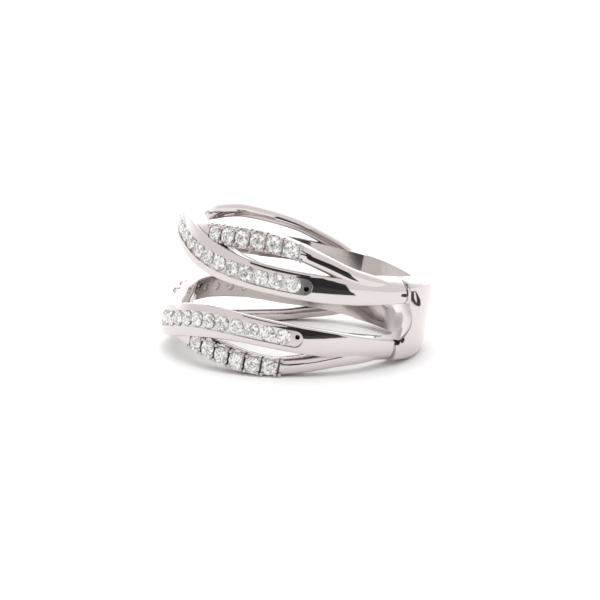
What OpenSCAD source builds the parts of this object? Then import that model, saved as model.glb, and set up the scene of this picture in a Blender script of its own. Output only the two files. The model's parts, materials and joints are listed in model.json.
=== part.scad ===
// Ring enhancer in white gold: two bands joined by a bridge at the back, worn one on each side of
// another ring. Each band splits into a channel-set strand and a claw-set strand that cross in front.
// Millimetres, +Z up. The ring lies on its side on a flat surface, tipped as it rests by itself.
// Angles round the ring start at the middle of the front and grow towards -Y, the near side.
// Distances across are measured from the middle plane between the two bands.

/* [Ring] */
// radius of the finger bore
bore_r = 8.45; // [8.3:0.05:8.6]
// wall of the strands at the front, measured outwards from the bore
front_wall = 1.97; // [1.85:0.01:2.05]
// wall of the claw-set strands
claw_wall = 1.62; // [1.55:0.01:1.7]
// wall of the plain shanks at the back
shank_wall = 1.67; // [1.62:0.01:1.75]
// wall of the bridge between the shanks
bridge_wall = 1.95; // [1.85:0.01:2.05]
// distance from the ring's axis to the flat end of the gap, at the bridge
gap_end_x = 8.07; // [7.9:0.01:8.2]
// half height of the gap where its rounded end starts
gap_half = 1.5; // [1.4:0.01:1.55]

/* [Channel stones] */
// diameter of a channel stone
channel_stone_d = 1.2; // [1.1:0.01:1.22]
// stones in each channel
channel_stones = 13; // [11:1:13]
// angle of the stone next to the empty end of the channel
channel_first = 78; // [77:0.5:79]
// angle from one channel stone to the next
channel_pitch = 7.1; // [7:0.05:7.2]
// angles between which the channel's round ends are centred
groove_from = -12; // [-13:0.5:-8]
groove_to = 83; // [82:0.5:86]
// gap between a stone's edge and the metal round it
stone_gap = 0.03; // [0.02:0.01:0.05]
// depth of the channel below the top of its rims
channel_depth = 0.95; // [0.85:0.05:1]
// height of the stones' edge below the top of the rims
channel_sink = 0.17; // [0.14:0.01:0.25]

/* [Claw stones] */
// diameter of a claw-set stone
claw_stone_d = 1.18; // [1.1:0.01:1.2]
// stones on the near side and on the far side of each band
claw_stones = 6; // [4:1:6]
// angle of the near stone next to the plain shank
claw_first = 74.5; // [73:0.5:75]
// angle from one near stone to the next
claw_pitch = 7.7; // [7.6:0.05:7.8]
// angle of the far stone next to the crossing
far_claw_first = -24; // [-26:0.5:-22]
// angle from one far stone to the next
far_claw_pitch = 8.4; // [8:0.1:8.8]
// radius of a claw
claw_r = 0.17; // [0.14:0.01:0.18]
// height of the claws above the edge of the stones
claw_rise = 0.16; // [0.12:0.01:0.3]
// radius of the holes behind the claw-set stones
back_hole_r = 0.33; // [0.25:0.01:0.38]

/* [Rest] */
// tip of the ring towards the bridge, in degrees
lean = 10.1; // [9:0.05:12]
// tip of the ring about the line from front to back, in degrees
roll = -1.3; // [-2:0.05:2]

/* [Hidden] */
// columns of a section table
ANGLE = 0;
MIDDLE = 1;
HALF = 2;
WALL = 3;

// channel-set strand of the upper band, from where it sinks into the far shank to the bridge
CHANNEL_ROWS = [
    // angle, middle, half width, wall
    [-130, 1.95, 0.42, shank_wall - 0.4],
    [-118, 2.58, 0.47, shank_wall - 0.06],
    [-105, 3.20, 0.50, shank_wall],
    [-90, 3.86, 0.51, shank_wall + 0.05],
    [-60, 4.46, 0.46, front_wall - 0.12],
    [-45, 4.38, 0.48, front_wall - 0.05],
    [-30, 4.28, 0.67, front_wall],
    [-15, 4.10, 0.90, front_wall],
    [0, 3.83, 1.18, front_wall],
    [15, 3.42, 1.31, front_wall],
    [30, 2.74, 1.33, front_wall],
    [45, 2.28, 1.22, front_wall],
    [60, 2.05, 1.08, front_wall],
    [90, 2.03, 1.04, front_wall - 0.1],
    [105, 2.16, 1.04, shank_wall + 0.1],
    [120, 2.30, 1.00, shank_wall],
    [135, 2.35, 0.90, shank_wall],
    [150, 2.20, 0.86, shank_wall],
    [168, 1.86, 0.80, shank_wall]
];

// claw-set strand of the upper band, from the bridge round the far side to the near shank
CLAW_ROWS = [
    // angle, middle, half width, wall
    [-168, 1.72, 0.84, shank_wall],
    [-150, 1.70, 0.94, shank_wall],
    [-120, 1.72, 0.94, shank_wall],
    [-105, 1.78, 0.96, claw_wall],
    [-90, 1.86, 1.00, claw_wall],
    [-75, 1.80, 0.98, claw_wall],
    [-60, 1.84, 0.98, claw_wall],
    [-45, 1.97, 0.96, claw_wall],
    [-30, 2.28, 0.88, claw_wall],
    [-15, 2.93, 0.76, claw_wall],
    [0, 3.50, 0.73, claw_wall],
    [15, 3.90, 0.77, claw_wall],
    [30, 4.17, 0.80, claw_wall],
    [45, 4.44, 0.84, claw_wall],
    [60, 4.65, 0.82, claw_wall],
    [75, 4.53, 0.69, claw_wall],
    [90, 3.90, 0.65, claw_wall],
    [105, 3.12, 0.68, claw_wall],
    [118, 2.70, 0.68, claw_wall - 0.1],
    [130, 2.42, 0.55, shank_wall - 0.4]
];

// bridge casting, from its seam with the near shanks to its seam with the far ones
BRIDGE_ROWS = [
    // angle, middle, half width, wall
    [131, 0, 3.20, shank_wall - 0.1],
    [134, 0, 3.20, bridge_wall - 0.14],
    [139, 0, 3.18, bridge_wall],
    [150, 0, 3.18, bridge_wall],
    [165, 0, 2.95, bridge_wall],
    [180, 0, 2.70, bridge_wall],
    [195, 0, 2.63, bridge_wall],
    [210, 0, 2.68, bridge_wall],
    [221, 0, 2.72, bridge_wall],
    [226, 0, 2.74, bridge_wall - 0.14],
    [229, 0, 2.74, shank_wall - 0.1]
];

// outlines of the sections: across as a share of the half width, up as a share of the wall
INSIDE = -0.2;
CHANNEL_FORM = [[-0.68, INSIDE], [-0.95, 0.55], [-1, 0.94], [-0.95, 1], [0, 1.01],
    [0.95, 1], [1, 0.94], [0.95, 0.55], [0.68, INSIDE]];
CLAW_FORM = [[-0.8, INSIDE], [-1, 0.45], [-0.97, 0.75], [-0.8, 0.93], [0, 0.96],
    [0.8, 0.93], [0.97, 0.75], [1, 0.45], [0.8, INSIDE]];
PLAIN_FORM = [[-0.9, INSIDE], [-1, 0.5], [-0.97, 0.8], [-0.72, 0.96], [0, 1.02],
    [0.72, 0.96], [0.97, 0.8], [1, 0.5], [0.9, INSIDE]];
SHANK_FORM = [[-0.97, INSIDE], [-1, 0.5], [-1, 0.93], [-0.93, 0.99], [-0.2, 1],
    [0.45, 0.88], [0.82, 0.62], [1, 0.2], [0.97, INSIDE]];
BRIDGE_FORM = [[-0.97, INSIDE], [-0.99, 0.25], [-1, 0.6], [-0.95, 0.86], [-0.79, 0.965], [-0.35, 0.99],
    [0.35, 0.99], [0.79, 0.965], [0.95, 0.86], [1, 0.6], [0.99, 0.25], [0.97, INSIDE]];

// angles between which one form turns into the next
NEAR_SHANK = [90, 125];
FAR_SHANK = [-90, -125];
NEAR_PLAIN = [78, 83];
FRONT_PLAIN_NEAR = [31, 26];
FRONT_PLAIN_FAR = [-20, -15];
FAR_PLAIN = [-70, -75];

// largest angle between two sections, the reach of a cutter past the metal, and a hair's breadth
STEP = 5;
MORE = 1;
HAIR = 0.01;

// smooth run through the rows of a table
function slope(rows, i, c) =
    let (low = max(i - 1, 0), high = min(i + 1, len(rows) - 1))
    (rows[high][c] - rows[low][c]) / (rows[high][ANGLE] - rows[low][ANGLE]);
function start_row(rows, a) = max([for (i = [0 : len(rows) - 2]) if (i == 0 || rows[i][ANGLE] <= a) i]);
function smooth(rows, a, c) =
    let (i = start_row(rows, a), span = rows[i + 1][ANGLE] - rows[i][ANGLE], t = (a - rows[i][ANGLE]) / span)
    rows[i][c] * (2 * t - 3) * t * t + rows[i][c]
        + rows[i + 1][c] * (3 - 2 * t) * t * t
        + span * slope(rows, i, c) * t * (1 - t) * (1 - t)
        - span * slope(rows, i + 1, c) * t * t * (1 - t);

// how far an angle has come through a span, from 0 at its start to 1 at its end
function share(a, span) = min(max((a - span[0]) / (span[1] - span[0]), 0), 1);
function mix(p, q, t) = [for (i = [0 : len(p) - 1]) p[i] * (1 - t) + q[i] * t];

// outline of each strand at an angle
function channel_form(a) = mix(CHANNEL_FORM, SHANK_FORM, share(a, NEAR_SHANK));
function plainness(a) = max(share(a, NEAR_PLAIN), share(a, FAR_PLAIN),
    min(share(a, FRONT_PLAIN_NEAR), share(a, FRONT_PLAIN_FAR)));
function claw_form(a) = mix(mix(CLAW_FORM, PLAIN_FORM, plainness(a)), SHANK_FORM, share(a, FAR_SHANK));

// points of one section
function section(rows, form, a) = [for (p = form) let (
    r = bore_r + p[1] * smooth(rows, a, WALL),
    z = smooth(rows, a, MIDDLE) + p[0] * smooth(rows, a, HALF)) [-r * cos(a), -r * sin(a), z]];
function angles(rows) = let (last = rows[len(rows) - 1][ANGLE], n = ceil((last - rows[0][ANGLE]) / STEP))
    [for (i = [0 : n]) rows[0][ANGLE] + (last - rows[0][ANGLE]) * i / n];
function channel_sections() = [for (a = angles(CHANNEL_ROWS)) section(CHANNEL_ROWS, channel_form(a), a)];
function claw_sections() = [for (a = angles(CLAW_ROWS)) section(CLAW_ROWS, claw_form(a), a)];
function bridge_sections() = [for (a = angles(BRIDGE_ROWS)) section(BRIDGE_ROWS, BRIDGE_FORM, a)];

// solid through a row of sections that all have the same number of points
module loft(sections) {
    n = len(sections[0]);
    last = len(sections) - 1;
    polyhedron(points = [for (s = sections, p = s) p], faces = concat(
        [[for (j = [n - 1 : -1 : 0]) j]],
        [[for (j = [0 : n - 1]) last * n + j]],
        [for (i = [0 : last - 1], j = [0 : n - 1]) let (k = (j + 1) % n)
            [i * n + j, (i + 1) * n + k, (i + 1) * n + j]],
        [for (i = [0 : last - 1], j = [0 : n - 1]) let (k = (j + 1) % n)
            [i * n + j, i * n + k, (i + 1) * n + k]]));
}

// seats its children on a radius of the ring, with their +Z outwards
module on_ring(a, z, r) rotate([0, 0, a + 180]) translate([r, 0, z]) rotate([0, 90, 0]) children();

// near the front the channel's stones sit a little off the strand's middle, towards the gap
ROW_SHIFT = 0.1;
SHIFT_STARTS = [0, 20];
SHIFT_ENDS = [55, 35];
function channel_z(a) = smooth(CHANNEL_ROWS, a, MIDDLE)
    - ROW_SHIFT * share(a, SHIFT_STARTS) * share(a, SHIFT_ENDS);
// stone rows of the upper band: each place is angle, height, and radius of the stone's edge
function channel_place(i) = let (a = channel_first - i * channel_pitch)
    [a, channel_z(a), bore_r + smooth(CHANNEL_ROWS, a, WALL) - channel_sink];
function near_place(i) = let (a = claw_first - i * claw_pitch)
    [a, smooth(CLAW_ROWS, a, MIDDLE), bore_r + claw_wall];
function far_place(i) = let (a = far_claw_first - i * far_claw_pitch)
    [a, smooth(CLAW_ROWS, a, MIDDLE), bore_r + claw_wall];
claw_places = concat([for (i = [0 : claw_stones - 1]) near_place(i)],
    [for (i = [0 : claw_stones - 1]) far_place(i)]);
claw_pairs = concat([for (i = [-0.5 : claw_stones - 0.5]) near_place(i)],
    [for (i = [-0.5 : claw_stones - 0.5]) far_place(i)]);

// round brilliant with its edge at z = 0, table up
TABLE = 0.56;
CROWN = 0.15;
GIRDLE = 0.03;
PAVILION = 0.42;
SIDES = 16;
module stone(d) {
    half = SIDES / 2;
    function ring(n, r, z) = [for (i = [0 : n - 1]) [r * cos(360 * i / n), r * sin(360 * i / n), z]];
    polyhedron(points = concat(ring(half, TABLE * d / 2, CROWN * d), ring(SIDES, d / 2, 0),
            ring(SIDES, d / 2, -GIRDLE * d), [[0, 0, -(GIRDLE + PAVILION) * d]]),
        faces = concat([[for (i = [half - 1 : -1 : 0]) i]],
            [for (i = [0 : half - 1]) [i, (i + 1) % half, half + 2 * i + 1]],
            [for (i = [0 : half - 1]) [i, half + 2 * i + 1, half + 2 * i]],
            [for (i = [0 : half - 1]) [(i + 1) % half, half + (2 * i + 2) % SIDES, half + 2 * i + 1]],
            [for (i = [0 : SIDES - 1]) let (k = (i + 1) % SIDES)
                [half + i, half + k, half + SIDES + k, half + SIDES + i]],
            [for (i = [0 : SIDES - 1])
                [half + SIDES + i, half + SIDES + (i + 1) % SIDES, half + 2 * SIDES]]));
}

module channel_stones_row()
    for (i = [0 : channel_stones - 1]) let (p = channel_place(i))
        on_ring(p[0], p[1], p[2]) stone(channel_stone_d);

module claw_stones_rows()
    for (p = claw_places) on_ring(p[0], p[1], p[2]) stone(claw_stone_d);

// channel cut between the rims, with round ends: its sections fall halfway between the strand's
GROOVE_SIDES = 16;
GROOVE_TURN = 4;
module groove() {
    half = channel_stone_d / 2 + stone_gap;
    steps = angles(CHANNEL_ROWS);
    shift = (steps[1] - steps[0]) / 2;
    run = [for (a = steps) if (a + shift > groove_from && a + shift < groove_to) a + shift];
    function floor_r(a) = bore_r + smooth(CHANNEL_ROWS, a, WALL) - channel_depth;
    loft([for (a = run) let (low = floor_r(a), high = low + channel_depth + MORE)
        [for (p = [[low, -half], [high, -half], [high, half], [low, half]])
            [-p[0] * cos(a), -p[0] * sin(a), channel_z(a) + p[1]]]]);
    for (a = [run[0], run[len(run) - 1]])
        on_ring(a, channel_z(a), floor_r(a)) rotate([0, 0, GROOVE_TURN])
            cylinder(h = channel_depth + MORE, r = half, $fn = GROOVE_SIDES);
}

// claw with a worn-down tip, base at z = 0
CLAW_SIDES = 6;
CLAW_TIP = 0.55;
module claw(h) rotate_extrude($fn = CLAW_SIDES)
    polygon([[0, 0], [claw_r, 0], [claw_r, h - claw_r * CLAW_TIP], [claw_r * CLAW_TIP, h], [0, h]]);

// claws stand in pairs between the stones: how far off the middle, how deep, and how turned
CLAW_SPREAD = 0.5;
CLAW_ROOT = 0.5;
CLAW_TURN = 20;
module claws()
    for (p = claw_pairs, side = [-1, 1])
        on_ring(p[0], p[1] + side * CLAW_SPREAD, p[2] - CLAW_ROOT)
            rotate([0, 0, CLAW_TURN]) claw(CLAW_ROOT + claw_rise);

// seats under the claw-set stones, open through to the finger: the stone at the crossing sits
// between both strands, so its seat is rounder, and it is cut when the two are one
SEAT_SIDES = 8;
SEAT_TURN = 11;
crossing_place = near_place(claw_stones - 1);
module seats(places, sides = SEAT_SIDES, ease = 1)
    for (p = places) let (r = (claw_stone_d / 2 + stone_gap) * ease)
        on_ring(p[0], p[1], p[2]) rotate([0, 0, SEAT_TURN]) rotate_extrude($fn = sides)
            polygon([[0, -claw_wall - MORE], [back_hole_r, -claw_wall - MORE],
                [back_hole_r, -PAVILION * claw_stone_d], [r, -GIRDLE * claw_stone_d - stone_gap],
                [r, MORE], [0, MORE]]);

module band() {
    difference() {
        union() {
            loft(channel_sections());
            difference() {
                loft(claw_sections());
                seats([for (p = claw_places) if (p != crossing_place) p]);
            }
            claws();
        }
        groove();
        seats([crossing_place], SIDES, 1 / cos(180 / SIDES));
    }
}

// bridge block with the round end of the gap cut into its inner side
GAP_CURVE = 0.32;
GAP_STEPS = 7;
module bridge() difference() {
    loft(bridge_sections());
    rotate([90, 0, 0]) linear_extrude(height = 4 * bore_r, center = true)
        polygon(concat([[0, gap_half], [0, -gap_half]],
            [for (z = [-gap_half : gap_half / GAP_STEPS : gap_half + HAIR])
                [gap_end_x - GAP_CURVE * z * z, z]]));
}

module casting() {
    band();
    mirror([0, 0, 1]) band();
    bridge();
}

// how the ring lies: turned, then set on the floor with its box centred on the origin
function turned(p) = let (y = p[1] * cos(roll) - p[2] * sin(roll), z = p[1] * sin(roll) + p[2] * cos(roll))
    [p[0] * cos(lean) + z * sin(lean), y, z * cos(lean) - p[0] * sin(lean)];
upper_points = [for (s = concat(channel_sections(), claw_sections()), p = s) p];
all_points = [for (p = concat(upper_points, [for (q = upper_points) [q[0], q[1], -q[2]]],
    [for (s = bridge_sections(), p = s) p])) turned(p)];
function low(c) = min([for (p = all_points) p[c]]);
function high(c) = max([for (p = all_points) p[c]]);
module at_rest()
    translate([-(low(0) + high(0)) / 2, -(low(1) + high(1)) / 2, -low(2)]) rotate([roll, lean, 0]) children();

// the casting is taken as one faceted solid and then bored true: the seam of the bore's wall falls in
// front, and between the walls of the two bands the bridge's inside is eased by a hair
BORE_TURN = 172;
EASE = 0.03;
EASE_HALF = 0.15;
module ring_body() color([0.86, 0.85, 0.84]) at_rest() difference() {
    resize([0, 0, 0]) casting();
    rotate([0, 0, BORE_TURN]) cylinder(h = 4 * bore_r, r = bore_r, center = true, $fn = 96);
    cylinder(h = 2 * EASE_HALF, r = bore_r + EASE, center = true, $fn = 96);
}

module upper_channel_stones() color([0.93, 0.95, 0.98]) at_rest() channel_stones_row();
module upper_claw_stones() color([0.93, 0.95, 0.98]) at_rest() claw_stones_rows();
module lower_channel_stones() color([0.93, 0.95, 0.98]) at_rest() mirror([0, 0, 1]) channel_stones_row();
module lower_claw_stones() color([0.93, 0.95, 0.98]) at_rest() mirror([0, 0, 1]) claw_stones_rows();

ring_body();
upper_channel_stones();
upper_claw_stones();
lower_channel_stones();
lower_claw_stones();
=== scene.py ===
"""Ring enhancer in white gold: two bands of two crossing strands each, joined by a bridge at the back.

The metalwork is drawn in millimetres in the ring's own frame: +Z along the finger, angles round
the ring from the middle of its front. Each piece is laid in the resting pose once it is finished.
"""
import json
import math

import bmesh
import bpy
from mathutils import Matrix, Vector


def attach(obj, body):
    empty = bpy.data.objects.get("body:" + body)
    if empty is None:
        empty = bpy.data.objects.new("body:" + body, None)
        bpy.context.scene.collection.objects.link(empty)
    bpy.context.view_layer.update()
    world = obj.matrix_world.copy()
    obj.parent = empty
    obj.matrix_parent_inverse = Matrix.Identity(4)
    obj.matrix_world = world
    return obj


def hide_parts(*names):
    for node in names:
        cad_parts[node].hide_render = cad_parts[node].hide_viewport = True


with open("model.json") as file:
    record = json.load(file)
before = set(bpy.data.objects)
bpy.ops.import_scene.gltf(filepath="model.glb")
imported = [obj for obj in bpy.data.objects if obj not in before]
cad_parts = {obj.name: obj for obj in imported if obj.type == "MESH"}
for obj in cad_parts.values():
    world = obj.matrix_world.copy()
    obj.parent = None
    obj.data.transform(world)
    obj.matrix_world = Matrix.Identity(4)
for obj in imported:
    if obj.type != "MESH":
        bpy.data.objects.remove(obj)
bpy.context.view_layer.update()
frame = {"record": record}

MM = 0.001

# resting pose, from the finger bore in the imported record
bore = next(m for m in frame["record"]["mounts"] if m["name"] == "finger_bore")
axis = Vector(bore["axis"])
lean = math.atan2(axis.x, axis.z)
roll = -math.asin(axis.y)
TURN = Matrix.Rotation(lean, 4, "Y") @ Matrix.Rotation(roll, 4, "X")
RESTING = Matrix.Translation(bore["pos_m"]) @ TURN @ Matrix.Scale(MM, 4)
MIRRORED = Matrix.Scale(-1, 4, (0, 0, 1))

# sizes shared with the part's solids, in millimetres, and angles in degrees
BORE = 8.45
FRONT_WALL, CLAW_WALL, SHANK_WALL, BRIDGE_WALL = 1.97, 1.62, 1.67, 1.95
CHANNEL_STONE, CLAW_STONE = 1.23, 1.2
CHANNEL_BED, CHANNEL_SINK, STONE_GAP = 0.27, 0.17, 0.02
GROOVE = (-12, 83)

# end of the front gap in the bar: its depth at the bar's sides, half its height and its rounding, how
# much deeper each millimetre towards the middle makes it from BAR_EDGE on, and how far past the bore
GAP_END, GAP_HALF, GAP_CURVE, GAP_FLARE, BAR_EDGE, BAR_RELIEF = 8.0, 1.5, 0.32, 0.19, 6.6, 0.1

# near end of the bar: the span and depth of its rounded nose, how far the seam swings round from the
# gap's edges to the rims, as a step at the gap and a skew along the height, and between which angles
# that swing grows from nothing
NOSE_SPAN, NOSE_INSET, NOSE_STEPS, SEAM_STEP, SEAM_SKEW = 0.9, 0.18, 8, 3.6, 1.1
SEAM_FADE = (152, 137)
SOLDER_PITS = [(133.6, -1.56, BORE + 1.55), (136.0, -1.36, BORE + 1.74)]

# where the finishes end: how high up the finger side's painted shade goes, how far out the gap's sanded
# wall, with its painted light, does, and between which places along X the finger side passes into the
# painted light of the sanded inside of the bar
FINGER_SIDE, BAR_RIM, BAR_INSIDE = 3.7, 6.1, (7.4, 8.1)

# angle, middle, half width and wall of each strand of the upper band, and of the bridge
CHANNEL_ROWS = [
    (-130, 1.85, 0.38, SHANK_WALL - 0.5), (-118, 2.58, 0.47, SHANK_WALL - 0.06),
    (-105, 3.20, 0.50, SHANK_WALL), (-90, 3.86, 0.51, SHANK_WALL + 0.05),
    (-60, 4.47, 0.60, FRONT_WALL - 0.03), (-45, 4.44, 0.66, FRONT_WALL), (-30, 4.31, 0.76, FRONT_WALL),
    (-15, 4.10, 0.90, FRONT_WALL), (0, 3.83, 1.18, FRONT_WALL), (15, 3.42, 1.31, FRONT_WALL),
    (30, 2.74, 1.33, FRONT_WALL), (45, 2.28, 1.22, FRONT_WALL), (60, 2.05, 1.08, FRONT_WALL),
    (90, 2.03, 1.04, FRONT_WALL - 0.1), (105, 2.16, 1.04, SHANK_WALL + 0.1), (120, 2.30, 1.00, SHANK_WALL),
    (135, 2.35, 0.90, SHANK_WALL), (150, 2.20, 0.86, SHANK_WALL), (168, 1.86, 0.80, SHANK_WALL)]
CLAW_ROWS = [
    (-168, 1.72, 0.84, SHANK_WALL), (-150, 1.70, 0.94, SHANK_WALL), (-120, 1.72, 0.94, SHANK_WALL),
    (-105, 1.78, 0.96, CLAW_WALL), (-90, 1.86, 1.00, CLAW_WALL), (-75, 1.80, 0.98, CLAW_WALL),
    (-60, 1.84, 0.98, CLAW_WALL), (-45, 1.97, 0.96, CLAW_WALL), (-30, 2.28, 0.88, CLAW_WALL),
    (-15, 2.93, 0.76, CLAW_WALL), (0, 3.50, 0.73, CLAW_WALL), (15, 3.90, 0.77, CLAW_WALL),
    (30, 4.17, 0.80, CLAW_WALL), (45, 4.44, 0.84, CLAW_WALL), (60, 4.65, 0.82, CLAW_WALL),
    (75, 4.53, 0.69, CLAW_WALL), (90, 3.90, 0.65, CLAW_WALL), (105, 3.12, 0.68, CLAW_WALL),
    (118, 2.70, 0.68, CLAW_WALL - 0.1), (130, 2.42, 0.55, SHANK_WALL - 0.4)]
BRIDGE_ROWS = [
    (135.4, 0, 3.19, BRIDGE_WALL - 0.04), (138, 0, 3.18, BRIDGE_WALL), (142, 0, 3.18, BRIDGE_WALL),
    (150, 0, 3.18, BRIDGE_WALL), (165, 0, 2.95, BRIDGE_WALL), (180, 0, 2.70, BRIDGE_WALL),
    (195, 0, 2.63, BRIDGE_WALL), (210, 0, 2.68, BRIDGE_WALL), (221, 0, 2.72, BRIDGE_WALL),
    (226.6, 0, 2.74, BRIDGE_WALL - 0.12)]

# outlines of the sections: across as a share of the half width, up as a share of the wall, and how
# far the corner's rounding reaches; a reach of SOFT gives one smooth curve, and a foot that is INSIDE
# the bore is cut off by it
SOFT, INSIDE = 3.0, -0.03
CHANNEL_FORM = [(-0.752, INSIDE, 0.13), (-0.95, 0.55, 0.3), (-1, 0.9, 0.08), (-0.95, 0.957, 0.08),
                (-0.6, 0.984, SOFT), (-0.2, 1, SOFT), (0.2, 1, SOFT), (0.6, 0.984, SOFT),
                (0.95, 0.957, 0.08), (1, 0.9, 0.08), (0.95, 0.55, 0.3), (0.752, INSIDE, 0.13)]
FAR_FORM = [(-0.6, 0.01, SOFT), (-0.95, 0.15, SOFT), (-1.1, 0.5, SOFT), (-1.08, 0.85, 0.3),
            (-0.85, 0.97, 0.3), (-0.3, 1, SOFT), (0.3, 1, SOFT), (0.85, 0.97, 0.3),
            (1.08, 0.85, 0.3), (1.1, 0.5, SOFT), (0.95, 0.15, SOFT), (0.6, 0.01, SOFT)]
CLAW_FORM = [(-0.862, INSIDE, 0.13), (-1, 0.45, 0.25), (-0.97, 0.78, 0.1), (-0.86, 0.93, 0.1),
             (-0.5, 0.95, SOFT), (-0.15, 0.955, SOFT), (0.15, 0.955, SOFT), (0.5, 0.95, SOFT),
             (0.86, 0.93, 0.1), (0.97, 0.78, 0.1), (1, 0.45, 0.25), (0.862, INSIDE, 0.13)]
SCOOPED_FORM = [(-0.94, 0.3, 0.1), (-1, 0.5, 0.12)] + CLAW_FORM[2:-2] + [(1, 0.5, 0.12), (0.94, 0.3, 0.1)]
PLAIN_FORM = [(-0.929, INSIDE, 0.13), (-1, 0.5, 0.2), (-0.97, 0.78, 0.1), (-0.75, 0.93, 0.1),
              (-0.35, 0.995, SOFT), (-0.05, 1, SOFT), (0.25, 0.99, SOFT), (0.5, 0.972, SOFT),
              (0.8, 0.9, 0.1), (0.97, 0.74, 0.1), (1, 0.5, 0.2), (0.929, INSIDE, 0.13)]
SHANK_FORM = [(-0.979, INSIDE, 0.13), (-1, 0.5, 0.3), (-1, 0.93, 0.12), (-0.93, 0.99, 0.12),
              (-0.6, 1, SOFT), (-0.2, 1, SOFT), (0.15, 0.96, SOFT), (0.45, 0.88, SOFT),
              (0.68, 0.76, SOFT), (0.84, 0.6, SOFT), (1, 0.2, SOFT), (0.985, INSIDE, 0.13)]
BRIDGE_FORM = [(-0.983, INSIDE, 0.13), (-0.99, 0.25, SOFT), (-1, 0.6, SOFT), (-0.95, 0.86, SOFT),
               (-0.79, 0.965, SOFT), (-0.35, 0.99, SOFT), (0.35, 0.99, SOFT), (0.79, 0.965, SOFT),
               (0.95, 0.86, SOFT), (1, 0.6, SOFT), (0.99, 0.25, SOFT), (0.983, INSIDE, 0.13)]

# angles between which one form turns into the next
NEAR_SHANK, FAR_SHANK, FAR_ROUND = (90, 125), (-90, -125), (-18, -36)
NEAR_PLAIN, FAR_PLAIN = (78, 80), (-70, -72)
NEAR_SCOOP, FAR_SCOOP = (-20, -32), (-66, -46)
FRONT_PLAIN_NEAR, FRONT_PLAIN_FAR = (31, 29), (-20, -18)

# where the stones sit: the first one's angle, the step to the next and their number, for the channel's
# row and for the claw-set row on its near and far side
CHANNEL_ROW, NEAR_ROW, FAR_ROW = (78, 7.1, 13), (74.5, 7.7, 6), (-24, 8.4, 6)


def row_angles(row):
    """Angles of a row's stones."""
    first, step, count = row
    return [first - step * i for i in range(count)]


def gap_angles(row):
    """Angles halfway between a row's stones, with the two past its ends."""
    first, step, count = row
    return [first - step * (i - 0.5) for i in range(count + 1)]


CHANNEL_ANGLES = row_angles(CHANNEL_ROW)
CLAW_ANGLES = row_angles(NEAR_ROW) + row_angles(FAR_ROW)
CLAW_GAPS = gap_angles(NEAR_ROW) + gap_angles(FAR_ROW)

# claws stand in fours between two stones: off the gap's middle by an angle, and off the strand's
CLAW_SPREAD, CLAW_ASIDE = 0.95, 0.56


# the run of the metalwork

def smooth(rows, angle):
    """Middle, half width and wall at an angle, run smoothly through the rows of a table."""
    i = max([0] + [k for k in range(len(rows) - 1) if rows[k][0] <= angle])
    span = rows[i + 1][0] - rows[i][0]
    t = (angle - rows[i][0]) / span

    def slope(k, c):
        low, high = rows[max(k - 1, 0)], rows[min(k + 1, len(rows) - 1)]
        return (high[c] - low[c]) / (high[0] - low[0])

    return [rows[i][c] * (1 + t * t * (2 * t - 3)) + rows[i + 1][c] * t * t * (3 - 2 * t)
            + span * t * (1 - t) * (slope(i, c) * (1 - t) - slope(i + 1, c) * t) for c in (1, 2, 3)]


def share(angle, span):
    """How far an angle has come through a span, from 0 to 1."""
    return min(max((angle - span[0]) / (span[1] - span[0]), 0), 1)


def blend(first, second, t):
    """Outline that is part of the way from one to another."""
    return [tuple(a * (1 - t) + b * t for a, b in zip(p, q)) for p, q in zip(first, second)]


def channel_form(angle):
    """Outline of the channel strand: rimmed in front, rounded past the crossing, flat at the shank."""
    far = blend(CHANNEL_FORM, FAR_FORM, share(angle, FAR_ROUND))
    return blend(far, SHANK_FORM, share(angle, NEAR_SHANK))


def claw_form(angle):
    """Outline of the claw-set strand: flat on top under its stones and plain between and past them."""
    plain = max(share(angle, NEAR_PLAIN), share(angle, FAR_PLAIN),
                min(share(angle, FRONT_PLAIN_NEAR), share(angle, FRONT_PLAIN_FAR)))
    front = blend(CLAW_FORM, SCOOPED_FORM, min(share(angle, NEAR_SCOOP), share(angle, FAR_SCOOP)))
    return blend(blend(front, PLAIN_FORM, plain), SHANK_FORM, share(angle, FAR_SHANK))


def bridge_form(_):
    """Outline of the bar, which is the same all along."""
    return BRIDGE_FORM


def on_ring(angle, z, radius):
    """Point at an angle round the ring from the middle of its front."""
    a = math.radians(angle)
    return Vector((-radius * math.cos(a), -radius * math.sin(a), z))


# points on a rounded corner, and the most of a side that its rounding takes up
ARC_POINTS, LONGEST_REACH = 5, 0.49


def rounded(corners):
    """Outline through corners that are given as across, up and the reach of their rounding."""
    outline = []
    for i, (x, y, reach) in enumerate(corners):
        here = Vector((x, y))
        ends = []
        for neighbour in (corners[i - 1], corners[(i + 1) % len(corners)]):
            side = Vector(neighbour[:2]) - here
            ends.append(here + side.normalized() * min(reach, LONGEST_REACH * side.length))
        for k in range(ARC_POINTS):
            t = k / (ARC_POINTS - 1)
            outline.append(ends[0] * (1 - t) ** 2 + here * 2 * t * (1 - t) + ends[1] * t * t)
    return outline


def section(rows, form, angle):
    """Outline of a strand at an angle, set in its place on the ring."""
    middle, half, wall = smooth(rows, angle)
    corners = [(middle + u * half, BORE + v * wall, reach) for u, v, reach in form(angle)]
    return [on_ring(angle, z, r) for z, r in rounded(corners)]


def loft(name, sections):
    """Closed solid through sections that have the same number of points."""
    shape = bmesh.new()
    rings = [[shape.verts.new(p) for p in s] for s in sections]
    count = len(rings[0])
    for a, b in zip(rings, rings[1:]):
        for j in range(count):
            k = (j + 1) % count
            shape.faces.new((a[j], a[k], b[k], b[j]))
    shape.faces.new(rings[0])
    shape.faces.new(rings[-1])
    bmesh.ops.recalc_face_normals(shape, faces=shape.faces)
    return solid(name, shape)


def solid(name, shape):
    """Object made from a shape, which is used up."""
    mesh = bpy.data.meshes.new(name)
    shape.to_mesh(mesh)
    shape.free()
    made = bpy.data.objects.new(name, mesh)
    bpy.context.collection.objects.link(made)
    return made


FINE = 2.0  # degrees


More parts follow.
